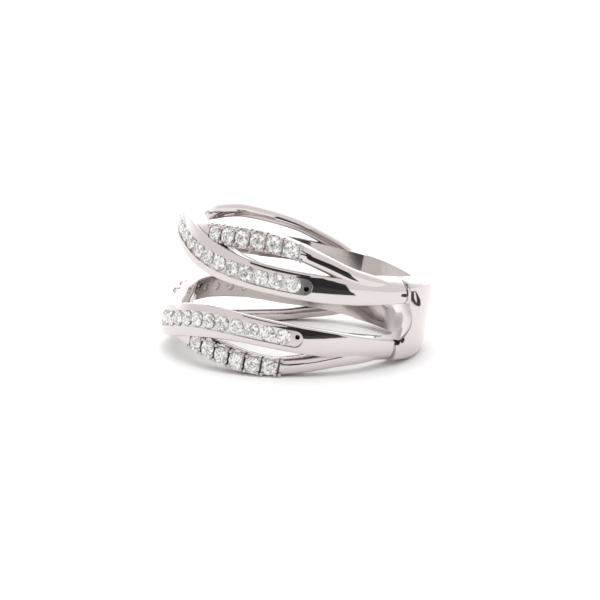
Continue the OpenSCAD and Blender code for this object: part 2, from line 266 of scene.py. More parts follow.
def run_angles(rows):
    """Angles from a table's first row to its last, at most FINE apart."""
    first, last = rows[0][0], rows[-1][0]
    count = math.ceil((last - first) / FINE)
    return [first + (last - first) * i / count for i in range(count + 1)]


def strand(name, rows, form):
    """Closed solid along the whole of a table."""
    return loft(name, [section(rows, form, a) for a in run_angles(rows)])


# places along a strand

# how far the channel's stones sit towards the gap, and the angles between which that sets in and ends
ROW_SHIFT, SHIFT_STARTS, SHIFT_ENDS = 0.1, (0, 20), (55, 35)


def channel_middle(angle):
    """Height of the channel's stones in the ring's own frame."""
    shifted = share(angle, SHIFT_STARTS) * share(angle, SHIFT_ENDS)
    return smooth(CHANNEL_ROWS, angle)[0] - ROW_SHIFT * shifted


def channel_top(angle):
    """Radius of the channel strand's outside."""
    return BORE + smooth(CHANNEL_ROWS, angle)[2]


def points_on(name, places):
    """Loose points, given as (angle, height, radius), that carry the ways outwards and along the ring."""
    mesh = bpy.data.meshes.new(name)
    mesh.from_pydata([on_ring(*p) for p in places], [], [])
    for label, way in (("outward", lambda a: (-math.cos(a), -math.sin(a), 0)),
                       ("along", lambda a: (math.sin(a), -math.cos(a), 0))):
        layer = mesh.attributes.new(label, "FLOAT_VECTOR", "POINT")
        for item, place in zip(layer.data, places):
            item.vector = way(math.radians(place[0]))
    made = bpy.data.objects.new(name, mesh)
    bpy.context.collection.objects.link(made)
    return made


# node trees

class Wire:
    """A socket of a node, for use in sums."""

    def __init__(self, tree, socket):
        self.tree, self.socket = tree, socket

    def sum(self, operation, first, second):
        return self.tree.node("ShaderNodeMath", {"operation": operation}, {0: first, 1: second})[0]

    def __add__(self, other):
        return self.sum("ADD", self, other)

    def __radd__(self, other):
        return self.sum("ADD", other, self)

    def __sub__(self, other):
        return self.sum("SUBTRACT", self, other)

    def __rsub__(self, other):
        return self.sum("SUBTRACT", other, self)

    def __mul__(self, other):
        return self.sum("MULTIPLY", self, other)

    def __rmul__(self, other):
        return self.sum("MULTIPLY", other, self)


class Made:
    """A node whose outputs are read as wires, by name or number."""

    def __init__(self, tree, node):
        self.tree, self.made = tree, node

    def __getitem__(self, key):
        return Wire(self.tree, self.made.outputs[key])


class Tree:
    """Adds nodes to one tree: their settings first, then their sockets."""

    def __init__(self, tree):
        self.tree = tree

    def node(self, kind, settings=None, inputs=None):
        made = self.tree.nodes.new(kind)
        for key, value in (settings or {}).items():
            if key == "stops":
                ramp = made.color_ramp
                while len(ramp.elements) < len(value):
                    ramp.elements.new(0.5)
                for element, (place, colour) in zip(ramp.elements, value):
                    element.position, element.color = place, colour
            else:
                setattr(made, key, value)
        for key, value in (inputs or {}).items():
            if isinstance(value, Wire):
                self.tree.links.new(value.socket, made.inputs[key])
            else:
                made.inputs[key].default_value = value
        return Made(self, made)


def node_shape(name, sockets):
    """A new geometry tree with named inputs, and the identifiers of those inputs."""
    group = bpy.data.node_groups.new(name, "GeometryNodeTree")
    group.interface.new_socket("Geometry", in_out="INPUT", socket_type="NodeSocketGeometry")
    names = {}
    for label, kind in sockets:
        socket = group.interface.new_socket(label, in_out="INPUT", socket_type="NodeSocket" + kind)
        names[label] = socket.identifier
    group.interface.new_socket("Geometry", in_out="OUTPUT", socket_type="NodeSocketGeometry")
    return group, names


def run_tree(name, points, group, names, values):
    """Plain mesh that a tree makes from points, as its own object."""
    modifier = points.modifiers.new(name, "NODES")
    modifier.node_group = group
    for label, value in values.items():
        modifier[names[label]] = value
    evaluated = points.evaluated_get(bpy.context.evaluated_depsgraph_get())
    mesh = bpy.data.meshes.new_from_object(evaluated)
    for layer in ("outward", "along"):
        if layer in mesh.attributes:
            mesh.attributes.remove(mesh.attributes[layer])
    points.modifiers.clear()
    bpy.data.objects.remove(points)
    mesh.name = name
    made = bpy.data.objects.new(name, mesh)
    bpy.context.collection.objects.link(made)
    return made


def facing(tree):
    """Turn that sets an instance's +Z outwards and its +X along the ring."""
    outward, along = (
        tree.node("GeometryNodeInputNamedAttribute", {"data_type": "FLOAT_VECTOR"}, {"Name": label})
        for label in ("outward", "along"))
    return tree.node("FunctionNodeAxesToRotation", {"primary_axis": "Z", "secondary_axis": "X"},
                     {"Primary Axis": outward["Attribute"],
                      "Secondary Axis": along["Attribute"]})["Rotation"]


def set_on_points(tree, given, piece, **more):
    """Last nodes of a tree: copies of a piece on the given points, made real and given their finish."""
    copies = tree.node("GeometryNodeInstanceOnPoints", None,
                       {"Points": given["Geometry"], "Instance": piece["Geometry"], **more})
    real = tree.node("GeometryNodeRealizeInstances", None, {"Geometry": copies["Instances"]})
    done = tree.node("GeometryNodeSetMaterial", None,
                     {"Geometry": real["Geometry"], "Material": given["Finish"]})
    tree.node("NodeGroupOutput", None, {"Geometry": done["Geometry"]})


def set_in_place_tree():
    """Sets a copy of one object on each point, each turned about its own axis by chance."""
    group, names = node_shape("Set in Place", [
        ("Piece", "Object"), ("Size", "Float"), ("Spin", "Float"), ("Seed", "Int"), ("Finish", "Material")])
    tree = Tree(group)
    given = tree.node("NodeGroupInput")
    chance = tree.node("FunctionNodeRandomValue", {"data_type": "FLOAT"},
                       {"Min": 0.0, "Max": 1.0, "Seed": given["Seed"]})
    spin = tree.node("FunctionNodeAxisAngleToRotation", None,
                     {"Axis": (0, 0, 1), "Angle": chance[1] * given["Spin"]})
    turn = tree.node("FunctionNodeRotateRotation", {"rotation_space": "LOCAL"},
                     {"Rotation": facing(tree), "Rotate By": spin["Rotation"]})
    piece = tree.node("GeometryNodeObjectInfo", {"transform_space": "ORIGINAL"},
                      {"Object": given["Piece"], "As Instance": True})
    set_on_points(tree, given, piece, Rotation=turn["Rotation"], Scale=given["Size"])
    return group, names


# sides of a claw, and rings and height of its bead, the height as a share of the width; the post ends
# in the bead, at a share of how high the bead sits
CLAW_SIDES, BEAD_RINGS, BEAD_FLAT, POST_TOP = 14, 9, 0.72, 0.4


def claw_tree():
    """Sets a claw on each point: a short post with a worn bead that leans over the stones' edges."""
    group, names = node_shape("Claws", [
        ("Post Radius", "Float"), ("Root", "Float"), ("Bead Radius", "Float"), ("Bead Height", "Float"),
        ("Finish", "Material")])
    tree = Tree(group)
    given = tree.node("NodeGroupInput")

    def raised(mesh, height, scale=(1.0, 1.0, 1.0)):
        way = tree.node("ShaderNodeCombineXYZ", None, {"Z": height})["Vector"]
        return tree.node("GeometryNodeTransform", None,
                         {"Geometry": mesh, "Translation": way, "Scale": scale})

    post = tree.node("GeometryNodeMeshCylinder", {"fill_type": "NGON"},
                     {"Vertices": CLAW_SIDES, "Radius": given["Post Radius"], "Depth": given["Root"]})
    stem = raised(post["Mesh"], given["Root"] * -0.5 + given["Bead Height"] * POST_TOP)
    ball = tree.node("GeometryNodeMeshUVSphere", None,
                     {"Segments": CLAW_SIDES, "Rings": BEAD_RINGS, "Radius": given["Bead Radius"]})
    bead = raised(ball["Mesh"], given["Bead Height"], (1.0, 1.0, BEAD_FLAT))
    both = tree.node("GeometryNodeJoinGeometry", None, {"Geometry": stem["Geometry"]})
    group.links.new(bead["Geometry"].socket, both.made.inputs[0])
    smoothed = tree.node("GeometryNodeSetShadeSmooth", None, {"Geometry": both["Geometry"]})
    set_on_points(tree, given, smoothed, Rotation=facing(tree))
    return group, names


# finishes

def finish_tree(name):
    """A new material with no nodes, and its tree."""
    material = bpy.data.materials.new(name)
    material.use_nodes = True
    material.node_tree.nodes.clear()
    return material, Tree(material.node_tree)


def colour_mix(tree, factor, first, second):
    """Colour on the way from one to another, each a wire or plain red, green and blue."""
    mix = tree.node("ShaderNodeMix", {"data_type": "RGBA"}, {
        0: factor, 6: first if isinstance(first, Wire) else (*first, 1),
        7: second if isinstance(second, Wire) else (*second, 1)})
    return mix[2]


# patterns in the gold, as repeats in a metre: clouds of tone, grain, and hairlines that run along X
CLOUDS, GRAIN, HAIRLINES = 260.0, 5200.0, (700.0, 9000.0, 2600.0)
SCRATCH_DEPTH = 0.00001


def white_gold(name, light, dark, low, high, scratch, sanded=None):
    """White gold: a drift of tone from light to dark, polish from low to high roughness, and the faint
    hairlines of wear.

    With the pale tone of sanded metal, which is painted light, and its roughness given, the finish passes
    into it along the bar."""
    material, tree = finish_tree(name)
    place = tree.node("ShaderNodeTexCoord")["Object"]
    cloud = tree.node("ShaderNodeTexNoise", None, {"Vector": place, "Scale": CLOUDS, "Detail": 3.0})["Fac"]
    grain = tree.node("ShaderNodeTexNoise", None, {"Vector": place, "Scale": GRAIN, "Detail": 2.0})["Fac"]
    drawn = tree.node("ShaderNodeMapping", None, {"Vector": place, "Scale": HAIRLINES})["Vector"]
    hair = tree.node("ShaderNodeTexNoise", None, {"Vector": drawn, "Scale": 1.0, "Detail": 2.0})["Fac"]
    colour = colour_mix(tree, cloud, dark, light)
    roughness = low + (cloud * 0.6 + grain * 0.4) * (high - low)
    if sanded:
        # the pale sanded tone is painted light
        pale, rough = sanded
        across = tree.node("ShaderNodeSeparateXYZ", None, {"Vector": place})["X"]
        part = tree.node("ShaderNodeMapRange", {"interpolation_type": "SMOOTHSTEP"}, {
            "Value": across, "From Min": BAR_INSIDE[0] * MM, "From Max": BAR_INSIDE[1] * MM})["Result"]
        colour = colour_mix(tree, part, colour, pale)
        roughness = roughness * (1 - part) + part * rough
    bump = tree.node("ShaderNodeBump", None, {
        "Strength": scratch, "Distance": SCRATCH_DEPTH, "Height": hair * 0.5 + grain * 0.5})
    surface = tree.node("ShaderNodeBsdfPrincipled", None, {
        "Base Color": colour, "Metallic": 1.0, "Roughness": roughness, "Normal": bump["Normal"]})
    tree.node("ShaderNodeOutputMaterial", None, {"Surface": surface["BSDF"]})
    return material


# painted sparkle: grey of a stone's parts, from the darkest to the brightest, and how finely its painted
# glints break up
SPARKLE = [(0.22, (0.11, 0.108, 0.1, 1)), (0.36, (0.3, 0.295, 0.28, 1)), (0.48, (0.46, 0.455, 0.435, 1)),
           (0.7, (0.82, 0.82, 0.8, 1))]
GLINTS = 7600.0


def brilliant_finish():
    """Cut stone with painted sparkle: each facet is painted its own grey, broken up by painted glints, and
    a painted glow that is strongest on the facets that face down.
    """
    material, tree = finish_tree("brilliant")
    facet = tree.node("ShaderNodeAttribute", {"attribute_name": "facet"})
    place = tree.node("ShaderNodeTexCoord")["Object"]
    # painted sparkle: a fine pattern of glints, mixed with each facet's own grey into the stone's colour
    glints = tree.node("ShaderNodeTexVoronoi", None, {"Vector": place, "Scale": GLINTS})
    level = tree.node("ShaderNodeRGBToBW", None, {"Color": glints["Color"]})
    tone = tree.node("ShaderNodeValToRGB", {"stops": SPARKLE},
                     {"Fac": facet["Fac"] * 0.4 + level["Val"] * 0.6})["Color"]
    under = tree.node("ShaderNodeAttribute", {"attribute_name": "under"})
    # painted glow: the stone gives off light of its own, most where its facets face down
    glow = colour_mix(tree, 0.14 + under["Fac"] * 0.7, (0, 0, 0), tone)
    surface = tree.node("ShaderNodeBsdfPrincipled", None, {
        "Base Color": tone, "Roughness": 0.03, "IOR": 2.42, "Transmission Weight": 0.15,
        "Emission Color": glow, "Emission Strength": 0.85})
    tree.node("ShaderNodeOutputMaterial", None, {"Surface": surface["BSDF"]})
    return material


POLISHED = white_gold("polished_white_gold", (0.665, 0.615, 0.61), (0.61, 0.56, 0.553), 0.03, 0.08, 0.05)
CASTING_FINISHES = [
    POLISHED,
    # pale finish, painted light with a rougher polish: in the channel, the seats, the scallops, and the
    # upper band's slots and gap
    white_gold("bright_cut_bed_painted_light", (0.80, 0.76, 0.755), (0.6, 0.56, 0.555), 0.16, 0.28, 0.2),
    # dark finish, painted shade: in the slots between the claw-set stones and on the lower band's side of
    # the gap
    white_gold("painted_shade_hollow", (0.34, 0.28, 0.265), (0.2, 0.165, 0.155), 0.35, 0.5, 0.2),
    # darker finish on the finger side, painted shade, that passes along the bar into a pale sanded one,
    # painted light
    white_gold("finger_side_painted_shade_and_light", (0.54, 0.488, 0.472), (0.44, 0.395, 0.38), 0.06, 0.11, 0.06,
               ((0.87, 0.835, 0.825), 0.45)),
    # pale finish for the gap's wall in the bar: rough like sanded metal, and painted light
    white_gold("sanded_gap_wall_painted_light", (0.93, 0.9, 0.89), (0.86, 0.83, 0.82), 0.4, 0.55, 0.2),
    # near-black finish, painted shade, in the pits
    white_gold("painted_shade_pit", (0.1, 0.09, 0.085), (0.04, 0.035, 0.033), 0.3, 0.5, 0.2)]
OUTSIDE, PAINTED_LIGHT_BED, PAINTED_SHADE_HOLLOW, FINGER_PAINTED_SHADE_AND_LIGHT, SANDED_PAINTED_LIGHT, PAINTED_SHADE_PIT = range(len(CASTING_FINISHES))
BRILLIANT = brilliant_finish()


# the stones

# a stone of unit width: radii of its table, the tips of its star, its girdle and the feet of its lower
# kites, heights of its crown, girdle and pavilion, and how far down the pavilion those feet are
TABLE, STAR, EDGE, MAINS = 0.28, 0.4, 0.5, 0.12
CROWN, GIRDLE, PAVILION, MAINS_DOWN = 0.15, 0.03, 0.42, 0.76

# each facet's painted sparkle is a share from 0 to 1: the step from one facet to the next, and the first
# one's; facets that face down by more than UNDERSIDE get a stronger painted glow
SPARKLE_STEP, FIRST_SPARKLE, UNDERSIDE = 0.618034, 0.37, -0.1


def ring_of(shape, count, radius, z, turn=0.0):
    """New corners round +Z, turned by a share of the step between them."""
    corners = []
    for i in range(count):
        a = math.radians(360 * (i + turn) / count)
        corners.append(shape.verts.new((radius * math.cos(a), radius * math.sin(a), z)))
    return corners


def brilliant():
    """Round brilliant of unit width: table, star, kite and girdle facets above, mains below."""
    shape = bmesh.new()
    table = ring_of(shape, 8, TABLE, CROWN)
    star = ring_of(shape, 8, STAR, CROWN * 0.5, 0.5)
    upper = ring_of(shape, 16, EDGE, 0)
    lower = ring_of(shape, 16, EDGE, -GIRDLE)
    mains = ring_of(shape, 8, MAINS, -GIRDLE - PAVILION * MAINS_DOWN, 0.5)
    tip = shape.verts.new((0, 0, -GIRDLE - PAVILION))
    faces = [shape.faces.new(table)]
    for i in range(8):
        j, u = (i + 1) % 8, 2 * i
        faces += [shape.faces.new(f) for f in (
            (table[i], star[i], table[j]), (table[i], star[i - 1], upper[u], star[i]),
            (star[i], upper[u], upper[u + 1]), (star[i], upper[u + 1], upper[(u + 2) % 16]),
            (lower[u + 1], lower[u], mains[i]), (lower[(u + 2) % 16], lower[u + 1], mains[i]),
            (lower[u], mains[i - 1], tip, mains[i]))]
    for i in range(16):
        k = (i + 1) % 16
        faces.append(shape.faces.new((upper[i], lower[i], lower[k], upper[k])))
    bmesh.ops.recalc_face_normals(shape, faces=shape.faces)
    made = solid("brilliant_master", shape)
    # facet holds each facet's share of painted sparkle; under marks the facets that face down for a
    # stronger painted glow
    facet = made.data.attributes.new("facet", "FLOAT", "FACE")
    under = made.data.attributes.new("under", "FLOAT", "FACE")
    for i, face in enumerate(made.data.polygons):
        facet.data[i].value = (i * SPARKLE_STEP + FIRST_SPARKLE) % 1.0
        under.data[i].value = float(face.normal.z < UNDERSIDE)
    return made


# solids that the cutters are made from

def revolved(name, outline, sides):
    """Solid turned from an outline of (radius, height) that starts and ends on the axis."""
    shape = bmesh.new()
    low, high = shape.verts.new((0, 0, outline[0][1])), shape.verts.new((0, 0, outline[-1][1]))
    rings = [ring_of(shape, sides, r, z) for r, z in outline[1:-1]]
    for i in range(sides):
        k = (i + 1) % sides
        shape.faces.new((low, rings[0][k], rings[0][i]))
        shape.faces.new((high, rings[-1][i], rings[-1][k]))
        for a, b in zip(rings, rings[1:]):
            shape.faces.new((a[i], a[k], b[k], b[i]))
    bmesh.ops.recalc_face_normals(shape, faces=shape.faces)
    return solid(name, shape)


def block(name, x, y, low, high):
    """Box about the axis, from one height to another."""
    shape = bmesh.new()
    bmesh.ops.create_cube(shape, size=1, matrix=Matrix.Translation((0, 0, (low + high) / 2))
                          @ Matrix.Diagonal((x, y, high - low, 1)))
    return solid(name, shape)


def drum(name, radius, length, segments=180, turn=Matrix()):
    """Cylinder about the middle, along +Z unless it is turned."""
    shape = bmesh.new()
    bmesh.ops.create_cone(shape, cap_ends=True, segments=segments, radius1=radius, radius2=radius,
                          depth=length, matrix=turn)
    return solid(name, shape)


def carved(name, body, steps):
    """Plain object after its unions and cuts, each step given as (operation, other object)."""
    for operation, other in steps:
        step = body.modifiers.new(operation, "BOOLEAN")
        step.operation, step.object, step.solver = operation, other, "MANIFOLD"
    evaluated = body.evaluated_get(bpy.context.evaluated_depsgraph_get())
    mesh = bpy.data.meshes.new_from_object(evaluated)
    mesh.name = name
    made = bpy.data.objects.new(name, mesh)
    bpy.context.collection.objects.link(made)
    for gone in [body] + [other for _, other in steps]:
        bpy.data.objects.remove(gone)
    return made


def dress(made, *finishes):
    """Gives an object these finishes and no others."""
    made.data.materials.clear()
    for finish in finishes:
        made.data.materials.append(finish)
    return made


def cast(made, finish):
    """Gives a piece of the casting, or a cutter for it, one of the casting's finishes all over."""
    dress(made, *CASTING_FINISHES)
    for face in made.data.polygons:
        face.material_index = finish
    return made


SHARP = math.radians(32)


def lay(made, name, replaced, lower=False):
    """Lays a finished piece in the resting pose, as the upper band's or mirrored as the lower's."""
    mesh = made.data
    if lower:
        mesh.transform(MIRRORED)
        mesh.flip_normals()
    mesh.transform(RESTING)
    mesh.update()
    made.name = mesh.name = name
    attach(made, "root")
    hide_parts(replaced)


def copy_of(made):
    """Copy of an object that has a mesh of its own."""
    other = made.copy()
    other.data = made.data.copy()
    bpy.context.collection.objects.link(other)
    return other


def shade(made):
    """Shades an object smooth up to its sharp edges."""
    made.data.shade_smooth()
    made.data.set_sharp_from_angle(angle=SHARP)
    return made


# making of the ring

PLACE, PLACE_NAMES = set_in_place_tree()
CLAWS, CLAW_NAMES = claw_tree()


def placed(name, places, piece, finish, size=1.0, spin=0.0, seed=1):
    """Copies of a piece on the given places, as one object."""
    return run_tree(name, points_on(name, places), PLACE, PLACE_NAMES, {
        "Piece": piece, "Size": size, "Spin": spin, "Seed": seed, "Finish": finish})


def claw_place(angle, rise=0.0, aside=0.0):
    """Place on top of the claw-set strand, where its stones' girdles are."""
    return angle, smooth(CLAW_ROWS, angle)[0] + aside, BORE + CLAW_WALL + rise


def channel_place(angle):
    """Place in the channel, where its stones' girdles are."""
    return angle, channel_middle(angle), channel_top(angle) - CHANNEL_SINK


def cutter(name, places, piece, finish):
    """Copies of a piece, which is used up, that leave a finish where they cut the casting."""
    made = cast(placed(name, places, piece, POLISHED), finish)
    bpy.data.objects.remove(piece)
    return made


# cutters for the claw-set stones, in millimetres with heights from the strand's top: the hole behind a
# stone, the slots between the stones, and the scallops in the strand's sides; CLEAR is past the metal
SEAT_HOLE, SEAT_SIDES, CLEAR = 0.33, 28, 1
SLOT_WIDE, SLOT_LONG, SLOT_FLOOR = 0.17, 3.0, -0.42
SCALLOP, SCALLOP_LONG, SCALLOP_SIDES, SCALLOP_RISE = 0.42, 3.0, 20, 0.12


def seat_cutters():
    """Seats of the claw-set stones, the slots between the stones and the scallops beside them."""
    wide = CLAW_STONE / 2 + STONE_GAP
    seat = revolved("seat", [
        (0, -CLAW_WALL - CLEAR), (SEAT_HOLE, -CLAW_WALL - CLEAR), (SEAT_HOLE, -PAVILION * CLAW_STONE),
        (wide, -GIRDLE * CLAW_STONE - STONE_GAP), (wide, CLEAR), (0, CLEAR)], SEAT_SIDES)
    slot = block("slot", SLOT_WIDE, SLOT_LONG, SLOT_FLOOR, CLEAR)
    scallop = drum("scallop", SCALLOP, SCALLOP_LONG, SCALLOP_SIDES, Matrix.Rotation(math.pi / 2, 4, "X"))
    # the seats and scallops leave the bed's pale finish, which is painted light; the slots leave the dark
    # finish of painted shade
    return [cutter("seats", [claw_place(a) for a in CLAW_ANGLES], seat, PAINTED_LIGHT_BED),
            cutter("slots", [claw_place(a) for a in CLAW_GAPS], slot, PAINTED_SHADE_HOLLOW),
            cutter("scallops", [claw_place(a, SCALLOP_RISE) for a in CLAW_ANGLES], scallop, PAINTED_LIGHT_BED)]


# the channel's cutter: its steps between the round ends, how far it reaches above the bed, and how far
# out in an end its sections stand, as shares of the end's radius
GROOVE_STEPS, GROOVE_CLEAR = 48, 2
END_SHARES = [math.sin(math.radians(t)) for t in range(5, 90, 10)] + [0.9986]


def groove():
    """Channel between the rims, with round ends."""
    half = CHANNEL_STONE / 2 + STONE_GAP
    first, last = GROOVE
    reach = math.degrees(half / (BORE + FRONT_WALL))
    angles = [first - reach * s for s in reversed(END_SHARES)]
    angles += [first + (last - first) * i / GROOVE_STEPS for i in range(GROOVE_STEPS + 1)]
    angles += [last + reach * s for s in END_SHARES]
    sections = []
    for a in angles:
        past = max(first - a, a - last, 0) / reach
        wide = half * math.sqrt(max(1 - past * past, 0))
        low, middle = channel_top(a) - CHANNEL_BED, channel_middle(a)
        high = low + GROOVE_CLEAR
        sections.append([on_ring(a, middle + z, r) for z, r in (
            (-wide, low), (-wide, high), (wide, high), (wide, low))])
    return loft("groove", sections)


# a channel stone's seat: radius and depth of its foot and depth of its rim, the depths in widths of the
# stone, and in millimetres the gap round the stone and the height that is cut free above it
BED_FOOT, BED_RIM, BED_GAP, BED_CLEAR = [(0, -0.62), (0.1, -0.6)], -0.04, 0.005, 0.4

# pits, as outlines of radius and height: the cutter's at the channel's end, with the angle and the way
# aside of its place, and those in the solder
PIT_OUTLINE, PIT_SIDES = [(0, -0.5), (0.1, -0.5), (0.22, 0.2), (0, 0.2)], 18
PIT_ANGLE, PIT_ASIDE = 84.0, 0.16
DROP_OUTLINE, DROP_SIDES = [(0, -0.3), (0.2, -0.2), (0.28, 0), (0.22, 0.3), (0, 0.5)], 16


def bed_cutters():
    """Seats under the channel's stones, and the pit that the cutter left past the last of them."""
    wide = CHANNEL_STONE / 2 + BED_GAP
    seat = revolved("bed_seat", [(r, z * CHANNEL_STONE) for r, z in BED_FOOT] + [
        (wide, BED_RIM * CHANNEL_STONE), (wide, BED_CLEAR), (0, BED_CLEAR)], SEAT_SIDES)
    pit = revolved("pit", PIT_OUTLINE, PIT_SIDES)
    pit_place = (PIT_ANGLE, channel_middle(PIT_ANGLE) - PIT_ASIDE, channel_top(PIT_ANGLE) - CHANNEL_BED)
    # the channel's seats leave the bed's painted light, the pit the near-black of painted shade
    return [cutter("bed_seats", [channel_place(a) for a in CHANNEL_ANGLES], seat, PAINTED_LIGHT_BED),
            cutter("pits", [pit_place], pit, PAINTED_SHADE_PIT)]


def band():
    """Upper band: the channel strand and the claw-set strand that cross in front."""
    channel = cast(strand("channel_strand", CHANNEL_ROWS, channel_form), OUTSIDE)
    claw_set = cast(strand("claw_strand", CLAW_ROWS, claw_form), OUTSIDE)
    claw_set = carved("claw_strand", claw_set, [("DIFFERENCE", c) for c in seat_cutters()])
    # the channel is cut with the bed's painted light
    return carved("upper_band", channel, [("UNION", claw_set), ("DIFFERENCE", cast(groove(), PAINTED_LIGHT_BED))]
                  + [("DIFFERENCE", c) for c in bed_cutters()])


def solder_pits():
    """Two small pits in the solder where the lower band's near shank meets the bar."""
    # the pits in the solder are cut with the near-black of painted shade
    return cutter("solder_pits", SOLDER_PITS, revolved("drop", DROP_OUTLINE, DROP_SIDES), PAINTED_SHADE_PIT)


def bridge_nose():
    """Near end of the bar: it rises out of the shanks in a short rounded nose."""
    shapes = []
    for i in range(NOSE_STEPS):
        t = i / NOSE_STEPS
        inset = NOSE_INSET * (1 - math.sqrt(1 - (1 - t) ** 2))
        shape = section(BRIDGE_ROWS, bridge_form, BRIDGE_ROWS[0][0])
        middle = sum(shape, Vector()) / len(shape)
        turn = Matrix.Rotation(math.radians(NOSE_SPAN * (t - 1)), 4, "Z")
        shapes.append([turn @ (p + (middle - p).normalized() * inset) for p in shape])
    return shapes


# the gap's cutter: its steps over half the height, and its slices on each side of the middle with the
# step between them in millimetres
GAP_STEPS, GAP_SLICES, GAP_SLICE = 12, 52, 0.25


def bridge():
    """Bar that joins the bands at the back, with the round end of the gap cut into its inner side."""
    bar = loft("bridge", bridge_nose() + [
        section(BRIDGE_ROWS, bridge_form, a) for a in run_angles(BRIDGE_ROWS)])
    for vertex in bar.data.vertices:
        angle = math.degrees(math.atan2(-vertex.co.y, -vertex.co.x)) % 360
        inward = min(max(vertex.co.z / GAP_HALF, -1), 1)
        swing = (SEAM_STEP * inward - SEAM_SKEW * vertex.co.z) * share(angle, SEAM_FADE)
        vertex.co = Matrix.Rotation(math.radians(swing), 4, "Z") @ vertex.co
    steps = [GAP_HALF * (i / GAP_STEPS - 1) for i in range(2 * GAP_STEPS + 1)]
    slices = []
    for y in [GAP_SLICE * i for i in range(-GAP_SLICES, GAP_SLICES + 1)]:
        end = min(GAP_END + GAP_FLARE * max(BAR_EDGE - abs(y), 0), BORE + BAR_RELIEF)
        side = [(0, GAP_HALF), (0, -GAP_HALF)] + [(end - GAP_CURVE * z * z, z) for z in steps]
        slices.append([Vector((x, y, z)) for x, z in side])
    # the gap's wall is cut with painted light
    gap = cast(loft("gap", slices), SANDED_PAINTED_LIGHT)
    return carved("bridge", cast(bar, OUTSIDE), [("DIFFERENCE", gap)])


# a face belongs to the finger side, and takes its painted shade, when it is this near the bore and looks
# this much towards its axis
NEAR_BORE, TO_AXIS = 0.6, -0.8


def casting():
    """Both bands and the bar in one, bored true, with the finishes, painted shade and painted light among
    them, sorted by place.
    """
    upper = band()
    lower = copy_of(upper)
    lower.data.transform(MIRRORED)
    lower.data.flip_normals()
    # the bore is cut with the finger side's painted shade
    hollow = cast(drum("hollow", BORE, 20), FINGER_PAINTED_SHADE_AND_LIGHT)
    made = shade(carved("casting", upper, [
        ("UNION", lower), ("UNION", bridge()), ("DIFFERENCE", hollow), ("DIFFERENCE", solder_pits())]))
    for face in made.data.polygons:
        away = Vector((face.center.x, face.center.y, 0))
        inward = away.length < BORE + NEAR_BORE and face.normal.dot(away.normalized()) < TO_AXIS
        # faces on the finger side take its painted shade
        if face.material_index == OUTSIDE and inward and abs(face.center.z) < FINGER_SIDE:
            face.material_index = FINGER_PAINTED_SHADE_AND_LIGHT
        # the gap's cut, out past the bar, takes painted shade in place of the sanded wall's painted light
        if face.material_index == SANDED_PAINTED_LIGHT and abs(face.center.y) > BAR_RIM:
            face.material_index = PAINTED_SHADE_HOLLOW
        # painted shade stays on the lower band; on the upper band the same faces take the bed's painted
        # light
        if face.material_index == PAINTED_SHADE_HOLLOW and face.center.z > 0:
            face.material_index = PAINTED_LIGHT_BED
    return made


CLAW_SIZES = {"Post Radius": 0.11, "Root": 0.5, "Bead Radius": 0.135, "Bead Height": 0.06}
CHANNEL_SEED, CLAW_SEED = 3, 8


def claws():
    """The claws of the upper band."""
    places = [claw_place(angle + spread, 0, aside) for angle in CLAW_GAPS
              for spread in (-CLAW_SPREAD, CLAW_SPREAD) for aside in (-CLAW_ASIDE, CLAW_ASIDE)]
    return run_tree("claws", points_on("claws", places), CLAWS, CLAW_NAMES,
                    {**CLAW_SIZES, "Finish": POLISHED})


def build():
    """The casting, and the claws and stones of the upper band with their mirrored copies."""
    lay(casting(), "white_gold_casting", "ring_body")
    upper_claws = claws()
    master = brilliant()
    channel_row = placed("channel_row", [channel_place(a) for a in CHANNEL_ANGLES], master, BRILLIANT,
                         CHANNEL_STONE, math.tau, CHANNEL_SEED)
    claw_row = placed("claw_row", [claw_place(a) for a in CLAW_ANGLES], master, BRILLIANT,
                      CLAW_STONE, math.tau, CLAW_SEED)
    bpy.data.objects.remove(master)
    for made, name, node in ((upper_claws, "claws", "ring_body"),
                             (channel_row, "channel_brilliants", "{}_channel_stones"),
                             (claw_row, "claw_set_brilliants", "{}_claw_stones")):
        other = copy_of(made)
        lay(made, "upper_" + name, node.format("upper"))
        lay(other, "lower_" + name, node.format("lower"), lower=True)


# the studio

# the camera as it was fitted: degrees that the photo shows the ring turned by about X, Y and Z, degrees
# that the camera looks down by, and its distance in metres
SEEN_X, SEEN_Y, SEEN_Z, CAMERA_RISE, CAMERA_AWAY = 0.3, 10.4, 6.8, 10.8, 0.18

# its lens: the photo's width, the focal length and the shift in the photo's pixels, and the sensor's
# width in millimetres
PHOTO_WIDTH, FOCAL_LENGTH, PHOTO_SHIFT, SENSOR_WIDTH = 600, 2271.6, -10, 36


def camera():
    """Camera at the photo's angle, looking at the middle of the finger hole."""
    seen = (Matrix.Rotation(math.radians(SEEN_Z), 3, "Z") @ Matrix.Rotation(math.radians(SEEN_Y), 3, "Y")
            @ Matrix.Rotation(math.radians(SEEN_X), 3, "X"))
    back = TURN.to_3x3() @ seen.inverted()
    rise = math.radians(CAMERA_RISE)
    right, up, away = (back @ Vector(v) for v in (
        (1, 0, 0), (0, math.sin(rise), math.cos(rise)), (0, -math.cos(rise), math.sin(rise))))
    data = bpy.data.cameras.new("camera")
    data.sensor_width = SENSOR_WIDTH
    data.lens = SENSOR_WIDTH * FOCAL_LENGTH / PHOTO_WIDTH
    data.shift_y = PHOTO_SHIFT / PHOTO_WIDTH
    data.clip_start, data.clip_end = 0.01, 20
    cam = bpy.data.objects.new("camera", data)
    cam.matrix_world = Matrix.Translation(Vector(bore["pos_m"]) + away * CAMERA_AWAY) @ Matrix(
        (right, up, away)).transposed().to_4x4()
    bpy.context.collection.objects.link(cam)
    bpy.context.scene.camera = cam


OVERHEAD_WATTS, OVERHEAD_WIDTH, OVERHEAD_HEIGHT = 1.15, 0.5, 0.6

